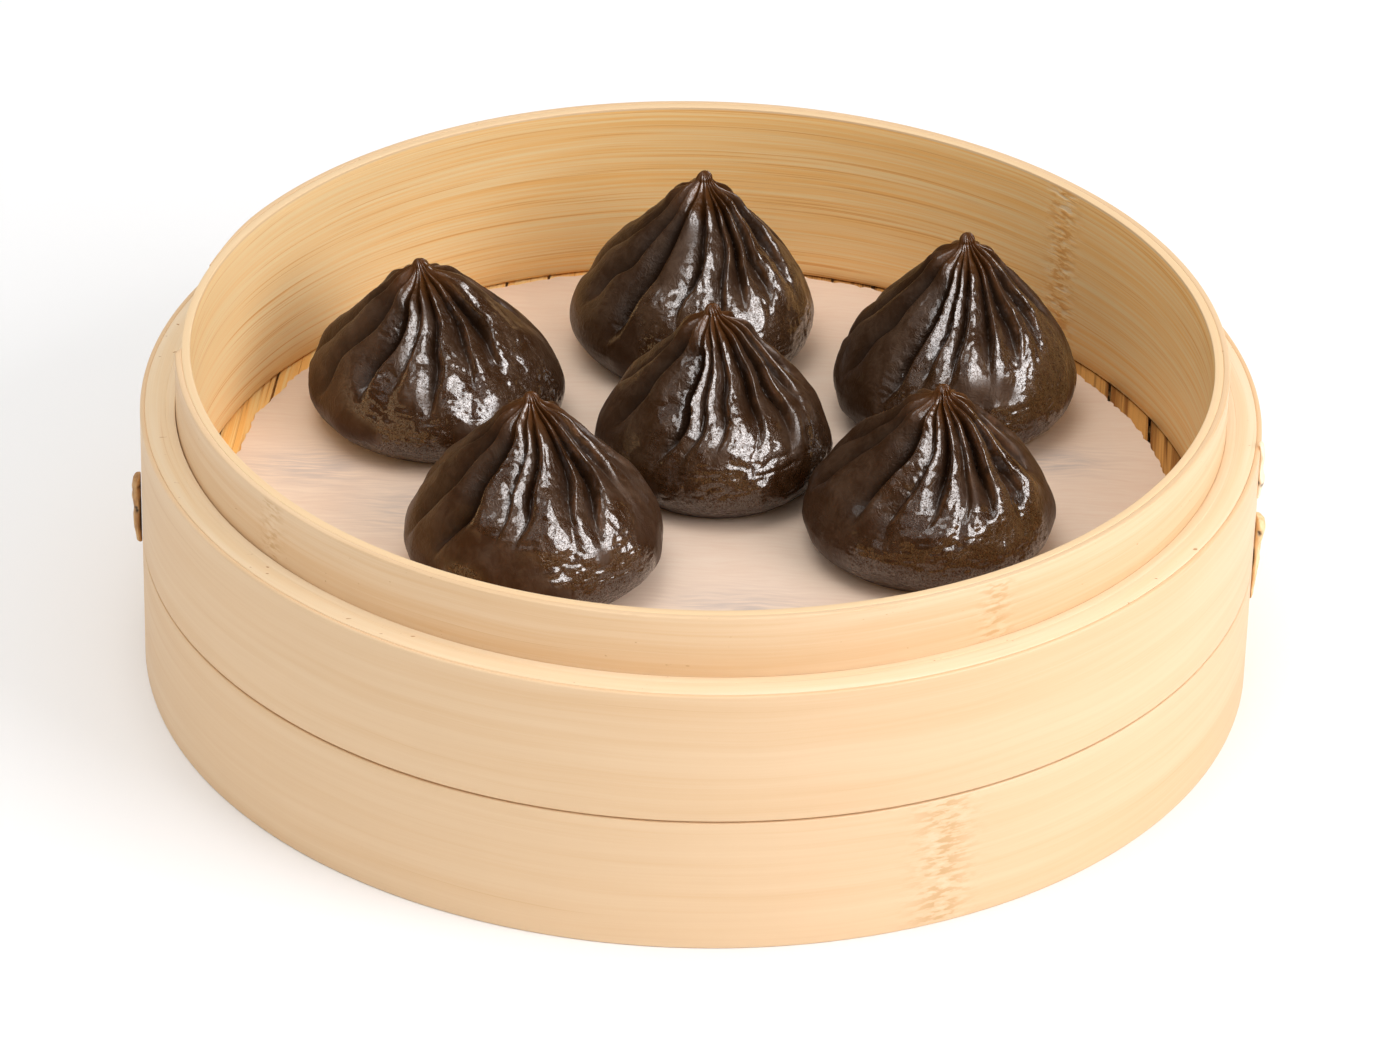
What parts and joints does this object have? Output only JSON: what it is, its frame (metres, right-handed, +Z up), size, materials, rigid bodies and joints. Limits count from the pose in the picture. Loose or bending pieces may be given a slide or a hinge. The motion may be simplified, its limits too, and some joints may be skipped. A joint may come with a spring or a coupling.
{
  "type": "soup dumplings in a bamboo steamer",
  "caption": "Dark pleated soup dumplings, each drawn up to a swirled tip, on a paper liner in a low round bamboo steamer basket with a stepped rim.",
  "frame": {"origin": "centre of the basket's bottom ring, on the plane it stands on", "axes": "+Z up along the basket's axis, -Y towards the basket's front, +X to the front's right"},
  "size_m": [0.2244, 0.22, 0.0694],
  "materials": {
    "bamboo_outer": "pale bamboo with fine level grain, satin",
    "bamboo_inner": "honey-coloured bamboo with wavy level streaks, satin",
    "bamboo_slat": "split bamboo slats with dark lines along them, satin",
    "paper": "thin unbleached fibrous paper, matt and slightly damp",
    "cane": "brown cane, rough",
    "dough": "thin steamed dough, near-black brown, wet and glossy"
  },
  "bodies": {
    "root": {"dumpling_back": "dough", "dumpling_centre": "dough", "dumpling_front_left": "dough", "dumpling_front_right": "dough", "dumpling_left": "dough", "dumpling_right": "dough", "floor_rail_back": "bamboo_slat", "floor_rail_front": "bamboo_slat", "ledge_strip": "bamboo_outer", "lower_band": "bamboo_outer", "paper_liner": "paper", "rim_hoop": "bamboo_inner", "rim_wrap": "bamboo_outer", "skirt_hoop": "bamboo_inner", "slat_01": "bamboo_slat", "slat_02": "bamboo_slat", "slat_03": "bamboo_slat", "slat_04": "bamboo_slat", "slat_05": "bamboo_slat", "slat_06": "bamboo_slat", "slat_07": "bamboo_slat", "slat_08": "bamboo_slat", "slat_09": "bamboo_slat", "slat_10": "bamboo_slat", "slat_11": "bamboo_slat", "slat_12": "bamboo_slat", "slat_13": "bamboo_slat", "slat_14": "bamboo_slat", "slat_15": "bamboo_slat", "slat_16": "bamboo_slat", "slat_17": "bamboo_slat", "slat_18": "bamboo_slat", "slat_19": "bamboo_slat", "slat_20": "bamboo_slat", "slat_21": "bamboo_slat", "slat_22_back": "bamboo_slat", "slat_22_front": "bamboo_slat", "slat_23": "bamboo_slat", "tie_ledge": "cane", "tie_left": "cane", "tie_right": "cane", "upper_band": "bamboo_outer", "wall_core": "bamboo_outer"}
  },
  "joints": []
}
